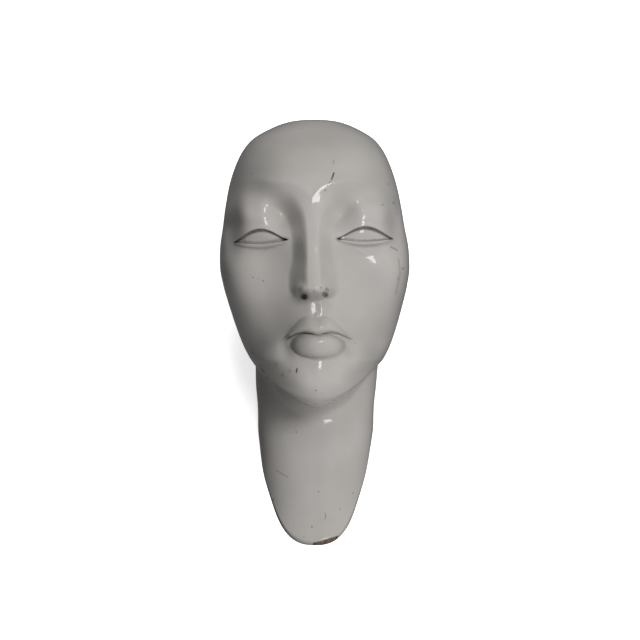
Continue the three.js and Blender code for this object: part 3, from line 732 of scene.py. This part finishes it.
def paint_material():
    """Glossy warm-grey paint with faint mottling and an uneven skin, painted shade with some dirt in its
    creases, specks, scratches and a bare chip."""
    material = bpy.data.materials.new("gloss_paint")
    material.use_nodes = True
    tree = material.node_tree
    shader = tree.nodes["Principled BSDF"]
    place = upright_place(tree)
    front = wobbled_front(tree, place)
    broad = noise_node(tree, place, 0.022, 3).outputs[0]
    fine = noise_node(tree, place, 0.35, 4).outputs[0]
    painted = tree.nodes.new("ShaderNodeAttribute")
    painted.attribute_name = "crease_shade_and_dirt"
    patchy = smooth_range(tree, fine, 0.2, 0.7, 0.8, 1.1)
    shade_and_dirt = math_node(tree, "MULTIPLY", painted.outputs["Fac"], patchy)
    marks = marks_mask(tree, front, place)
    chip = chip_mask(tree, front)
    colour = mix_colours(tree, smooth_range(tree, broad, 0.35, 0.7, 0, 1), PAINT_COLOUR, PAINT_SHADE)
    colour = mix_colours(tree, smooth_range(tree, fine, 0.5, 0.85, 0, 0.5), colour, PAINT_SHADE)
    # Painted shade, with some dirt, darkens the creases
    colour = mix_colours(tree, shade_and_dirt, colour, CREASE_SHADE_AND_DIRT_COLOUR)
    colour = mix_colours(tree, marks, colour, MARK_COLOUR)
    bare = mix_colours(tree, smooth_range(tree, fine, 0.4, 0.62, 0, 1), BARE_COLOUR, BARE_SHADE)
    colour = mix_colours(tree, chip, colour, bare)
    hurt = math_node(tree, "MAXIMUM", marks, chip)
    roughened = math_node(tree, "MAXIMUM", shade_and_dirt, hurt)
    roughness = math_node(tree, "ADD", PAINT_ROUGHNESS - 0.05, math_node(tree, "MULTIPLY", fine, 0.1))
    roughness = math_node(tree, "MULTIPLY_ADD", roughened, 0.35, roughness)
    skin = noise_node(tree, place, 0.12, 2).outputs[0]
    height = math_node(tree, "MULTIPLY_ADD", fine, 0.12, skin)
    height = math_node(tree, "MULTIPLY_ADD", hurt, -1.5, height)
    bump = tree.nodes.new("ShaderNodeBump")
    feed(tree, bump, {"Height": height, "Strength": 1, "Distance": SKIN_DEPTH})
    feed(tree, shader, {"Base Color": colour, "Roughness": roughness, "Normal": bump.outputs["Normal"]})
    feed(tree, shader, {"Specular IOR Level": 0.25, "Coat Weight": 1, "Coat Roughness": 0.07})
    tree.links.new(bump.outputs["Normal"], shader.inputs["Coat Normal"])
    return material


# The photograph's framing: its scale, and the midline and the level under its middle
PICTURE_WIDTH = 640
PIXEL_SIZE = 0.81
VIEW_ACROSS = 4.2
VIEW_REACH = 30
VIEW_LEVEL = 69.66
VIEW_DISTANCE = 1.3
SENSOR_WIDTH = 36


def lying_vector(across, reach, level):
    """A direction of the upright head's frame as a direction of the room, without its length."""
    return Vector(lie_down(np.array([across, reach, level + CUT_LEVEL], float))).normalized()


def lying_place(across, reach, level):
    """A place of the upright head's frame as a place in the room."""
    return Vector(lie_down(np.array([across, reach, level], float)) / 1000)


def make_camera():
    """A camera that looks straight at the face, from above the lying head."""
    camera = bpy.data.cameras.new("camera")
    camera.sensor_width = SENSOR_WIDTH
    camera.lens = SENSOR_WIDTH * VIEW_DISTANCE / (PICTURE_WIDTH * PIXEL_SIZE / 1000)
    holder = bpy.data.objects.new("camera", camera)
    away = lying_vector(0, 1, 0)
    up = lying_vector(0, 0, 1)
    place = lying_place(VIEW_ACROSS, VIEW_REACH, VIEW_LEVEL) + away * VIEW_DISTANCE
    turn = Matrix((up.cross(away), up, away)).transposed().to_4x4()
    holder.matrix_world = Matrix.Translation(place) @ turn
    bpy.context.scene.collection.objects.link(holder)
    bpy.context.scene.camera = holder


# The place that every light faces, in the upright head's frame, and its distance in metres
LIT_PLACE = (0, 30, 110)
LIGHT_DISTANCE = 6

# Soft lights, as (name, direction in the upright head's frame, width, height, brightness on a white card),
# and the flash in the same terms
SOFT_LIGHTS = [
    ("key", (0.4, 0.85, 0.34), 1.4, 1.8, 0.52),
    ("crown_light", (0, 0.2, 0.98), 1.8, 1.8, 0.38),
    ("forehead_light", (0.05, 0.76, 0.64), 1.8, 1.8, 0.15),
    ("chin_light", (0.3, 0.72, -0.64), 2.4, 1.2, 0.47),
    ("side_light", (0.93, 0.3, -0.2), 1.2, 1.8, 0.17),
]
FLASH = ("flash", (0.223, 0.966, 0.258), 1.26, 1.37, 0.125)
SURROUND_STRENGTH = 0.11

# The floor's half width, in metres, and its colour and glow
FLOOR_REACH = 30
FLOOR_COLOUR = (0.95, 0.95, 0.95, 1)
FLOOR_GLOW = 0.7


def soft_light(name, direction, width, height, brightness):
    """A rectangular light that faces the head from a direction of the upright frame. Its power is pi squared
    times its brightness on a white card and its distance squared."""
    light = bpy.data.lights.new(name, "AREA")
    light.shape = "RECTANGLE"
    light.size = width
    light.size_y = height
    light.energy = brightness * (math.pi * LIGHT_DISTANCE) ** 2
    holder = bpy.data.objects.new(name, light)
    away = lying_vector(*direction)
    side = lying_vector(0.1, 0, 1).cross(away).normalized()
    turn = Matrix((side, away.cross(side), away)).transposed().to_4x4()
    place = lying_place(*LIT_PLACE) + away * LIGHT_DISTANCE
    holder.matrix_world = Matrix.Translation(place) @ turn
    bpy.context.scene.collection.objects.link(holder)
    return holder


def make_room():
    """A plain pale floor that glows like a light table but lights nothing else, a dim surround, soft lights
    without mirror images and the one small flash that the gloss mirrors."""
    mesh = bpy.data.meshes.new("floor")
    corners = [(-1, -1), (1, -1), (1, 1), (-1, 1)]
    mesh.from_pydata([(FLOOR_REACH * x, FLOOR_REACH * y, 0) for x, y in corners], [], [(0, 1, 2, 3)])
    floor = bpy.data.objects.new("floor", mesh)
    bpy.context.scene.collection.objects.link(floor)
    floor.visible_diffuse = False
    floor.visible_glossy = False
    material = bpy.data.materials.new("floor_paper")
    material.use_nodes = True
    shader = material.node_tree.nodes["Principled BSDF"]
    glow = {"Emission Color": (1, 1, 1, 1), "Emission Strength": FLOOR_GLOW}
    feed(material.node_tree, shader, {"Base Color": FLOOR_COLOUR, "Roughness": 0.9, **glow})
    mesh.materials.append(material)
    world = bpy.data.worlds.new("surround")
    world.use_nodes = True
    background = world.node_tree.nodes["Background"]
    feed(world.node_tree, background, {"Color": (1, 1, 1, 1), "Strength": SURROUND_STRENGTH})
    bpy.context.scene.world = world
    bpy.context.scene.view_settings.view_transform = "Standard"
    for settings in SOFT_LIGHTS:
        soft_light(*settings).visible_glossy = False
    soft_light(*FLASH)


head = make_head()
head.data.materials.append(paint_material())
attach(head, "root")
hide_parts("mannequin_head")
make_room()
make_camera()
